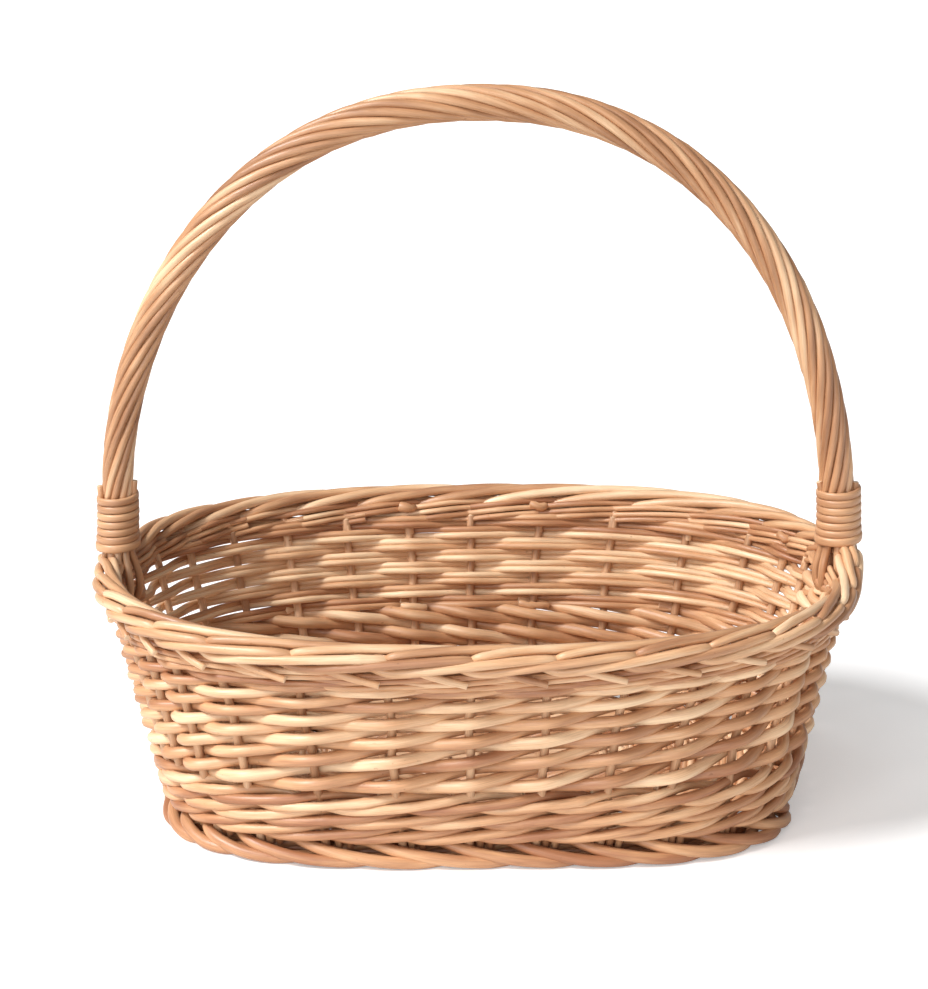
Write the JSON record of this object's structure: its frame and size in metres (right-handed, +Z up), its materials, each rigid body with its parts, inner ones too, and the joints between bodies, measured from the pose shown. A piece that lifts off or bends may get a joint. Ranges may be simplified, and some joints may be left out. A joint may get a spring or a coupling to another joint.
{
  "type": "wicker gift basket",
  "caption": "Oval willow basket with a flaring woven wall, rolled rim border, foot border and a fixed roped hoop handle bound at both feet.",
  "frame": {"origin": "centre of the footprint, on the floor under the foot border", "axes": "+X along the basket's length through both handle feet, +Y across it to the back, +Z up"},
  "size_m": [0.4034, 0.28, 0.3806],
  "materials": {
    "stake_willow": "steamed buff willow rod, satin, a little darker than the weavers",
    "weaver_willow": "buff willow rod, satin, fine lengthwise grain",
    "wale_willow": "buff willow rod, satin, fine lengthwise grain",
    "border_willow": "buff willow rod, satin, polished by handling",
    "base_willow": "buff willow rod, satin, close woven",
    "handle_willow": "buff willow rod, satin, long grain along the lay",
    "binding_willow": "split willow skein, smooth satin"
  },
  "bodies": {
    "root": {"stake_01": "stake_willow", "stake_02": "stake_willow", "stake_03": "stake_willow", "stake_04": "stake_willow", "stake_05": "stake_willow", "stake_06": "stake_willow", "stake_07": "stake_willow", "stake_08": "stake_willow", "stake_09": "stake_willow", "stake_10": "stake_willow", "stake_11": "stake_willow", "stake_12": "stake_willow", "stake_13": "stake_willow", "stake_14": "stake_willow", "stake_15": "stake_willow", "stake_16": "stake_willow", "stake_17": "stake_willow", "stake_18": "stake_willow", "stake_19": "stake_willow", "stake_20": "stake_willow", "stake_21": "stake_willow", "stake_22": "stake_willow", "stake_23": "stake_willow", "stake_24": "stake_willow", "stake_25": "stake_willow", "stake_26": "stake_willow", "stake_27": "stake_willow", "stake_28": "stake_willow", "stake_29": "stake_willow", "stake_30": "stake_willow", "stake_31": "stake_willow", "stake_32": "stake_willow", "side_weave_01": "weaver_willow", "side_weave_02": "weaver_willow", "side_weave_03": "weaver_willow", "side_weave_04": "weaver_willow", "side_weave_05": "weaver_willow", "side_weave_06": "weaver_willow", "side_weave_07": "weaver_willow", "side_weave_08": "weaver_willow", "side_weave_09": "weaver_willow", "side_weave_10": "weaver_willow", "upsett_wale": "wale_willow", "top_wale": "wale_willow", "foot_border": "border_willow", "rim_border": "border_willow", "base_weave": "base_willow", "handle_core": "handle_willow", "handle_rod_01": "handle_willow", "handle_rod_02": "handle_willow", "handle_rod_03": "handle_willow", "handle_rod_04": "handle_willow", "handle_rod_05": "handle_willow", "handle_rod_06": "handle_willow", "handle_rod_07": "handle_willow", "handle_rod_08": "handle_willow", "handle_rod_09": "handle_willow", "handle_rod_10": "handle_willow", "binding_left": "binding_willow", "binding_right": "binding_willow"}
  },
  "joints": []
}
